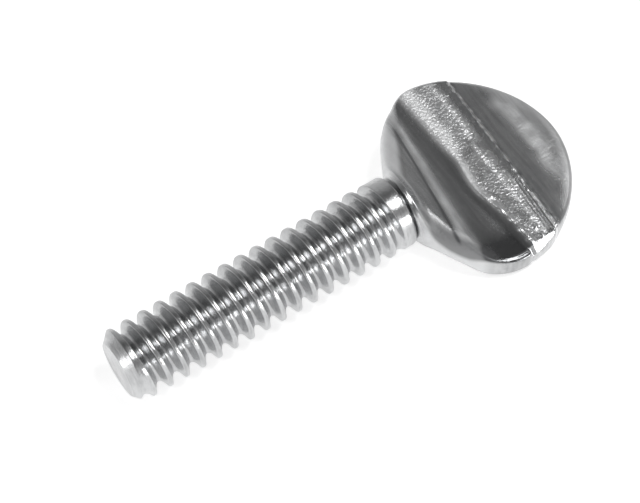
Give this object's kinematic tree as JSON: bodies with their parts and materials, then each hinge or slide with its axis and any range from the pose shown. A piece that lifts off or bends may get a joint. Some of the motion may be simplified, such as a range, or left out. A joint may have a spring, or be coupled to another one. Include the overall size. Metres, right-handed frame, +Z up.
{
  "type": "thumb screw",
  "caption": "Zinc-plated steel thumb screw with a flat pressed spade head and a fully threaded shank.",
  "frame": {"origin": "on the shank's axis, at the face under the head where the collar ends", "axes": "+X from the tip towards the head along the shank, +Z up as the screw lies at rest, +Y across the head"},
  "size_m": [0.0221, 0.0098, 0.0034],
  "materials": {
    "steel": "bright zinc plating, slightly satin"
  },
  "bodies": {
    "root": {"thumb_screw": "steel"}
  },
  "joints": []
}
